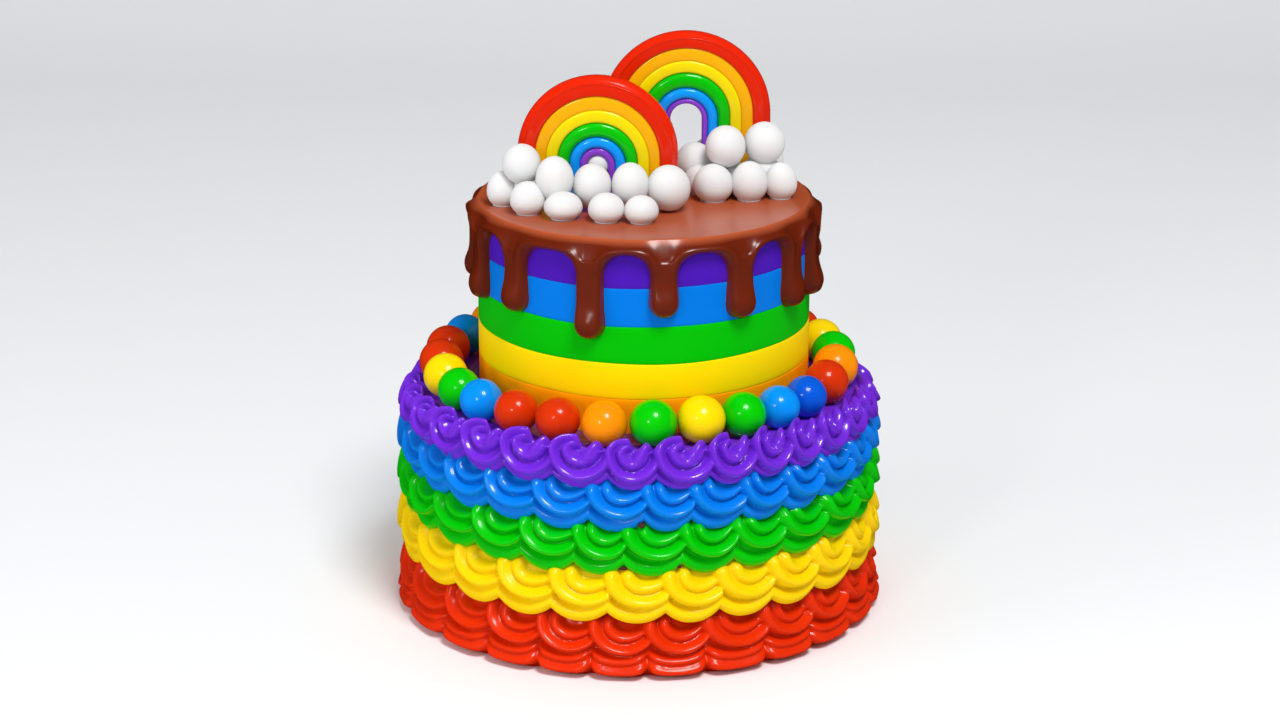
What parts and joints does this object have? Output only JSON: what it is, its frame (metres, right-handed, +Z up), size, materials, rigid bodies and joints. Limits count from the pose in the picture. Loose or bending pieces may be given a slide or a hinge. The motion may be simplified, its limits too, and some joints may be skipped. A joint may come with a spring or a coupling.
{
  "type": "two-tier cake",
  "caption": "Round two-tier cake with rows of piped icing in rainbow colours, poured chocolate drips, round sweets, and candy rainbows standing in clouds of white balls.",
  "frame": {"origin": "middle of the underside, where the lower tier rests", "axes": "+Z up through both tiers, the longest extent; -Y towards the front, where the smaller candy rainbow stands; +X to the right seen from the front"},
  "size_m": [0.0967, 0.0965, 0.112],
  "materials": {
    "sponge": "dark chocolate sponge, matt and crumbly",
    "icing_red": "red piped icing, smooth and moist, glossy on its crests",
    "icing_yellow": "yellow piped icing, smooth and moist, glossy on its crests",
    "icing_green": "green piped icing, smooth and moist, glossy on its crests",
    "icing_blue": "blue piped icing, smooth and moist, glossy on its crests",
    "icing_purple": "purple piped icing, smooth and moist, glossy on its crests",
    "layer_orange": "orange icing, smooth with a soft sheen",
    "layer_yellow": "yellow icing, smooth with a soft sheen",
    "layer_green": "green icing, smooth with a soft sheen",
    "layer_blue": "blue icing, smooth with a soft sheen",
    "layer_purple": "purple icing, smooth with a soft sheen",
    "chocolate": "poured milk chocolate, smooth, satin on top and glossy down the drips",
    "sweet_red": "red sugar shell, polished",
    "sweet_orange": "orange sugar shell, polished",
    "sweet_yellow": "yellow sugar shell, polished",
    "sweet_green": "green sugar shell, polished",
    "sweet_light_blue": "light blue sugar shell, polished",
    "sweet_blue": "blue sugar shell, polished",
    "rope_red": "red sugar paste, smooth with a sheen",
    "rope_orange": "orange sugar paste, smooth with a sheen",
    "rope_yellow": "yellow sugar paste, smooth with a sheen",
    "rope_green": "green sugar paste, smooth with a sheen",
    "rope_blue": "blue sugar paste, smooth with a sheen",
    "rope_purple": "purple sugar paste, smooth with a sheen",
    "cloud": "white sugar balls, smooth and matt"
  },
  "bodies": {
    "root": {"sponge": "sponge", "row_red": "icing_red", "row_yellow": "icing_yellow", "row_green": "icing_green", "row_blue": "icing_blue", "row_purple": "icing_purple", "layer_orange": "layer_orange", "layer_yellow": "layer_yellow", "layer_green": "layer_green", "layer_blue": "layer_blue", "layer_purple": "layer_purple", "chocolate": "chocolate", "sweet_01": "sweet_green", "sweet_02": "sweet_yellow", "sweet_03": "sweet_green", "sweet_04": "sweet_light_blue", "sweet_05": "sweet_blue", "sweet_06": "sweet_red", "sweet_07": "sweet_orange", "sweet_08": "sweet_green", "sweet_09": "sweet_yellow", "sweet_10": "sweet_red", "sweet_11": "sweet_light_blue", "sweet_12": "sweet_orange", "sweet_13": "sweet_green", "sweet_14": "sweet_blue", "sweet_15": "sweet_yellow", "sweet_16": "sweet_red", "sweet_17": "sweet_green", "sweet_18": "sweet_orange", "sweet_19": "sweet_light_blue", "sweet_20": "sweet_red", "sweet_21": "sweet_red", "sweet_22": "sweet_yellow", "sweet_23": "sweet_green", "sweet_24": "sweet_light_blue", "sweet_25": "sweet_red", "sweet_26": "sweet_red", "sweet_27": "sweet_orange", "front_rainbow_red": "rope_red", "front_rainbow_orange": "rope_orange", "front_rainbow_yellow": "rope_yellow", "front_rainbow_green": "rope_green", "front_rainbow_blue": "rope_blue", "front_rainbow_purple": "rope_purple", "back_rainbow_red": "rope_red", "back_rainbow_orange": "rope_orange", "back_rainbow_yellow": "rope_yellow", "back_rainbow_green": "rope_green", "back_rainbow_blue": "rope_blue", "back_rainbow_purple": "rope_purple", "front_cloud": "cloud", "end_ball": "cloud", "middle_cloud": "cloud", "back_cloud": "cloud", "rear_cloud_left": "cloud", "rear_cloud_right": "cloud"}
  },
  "joints": []
}
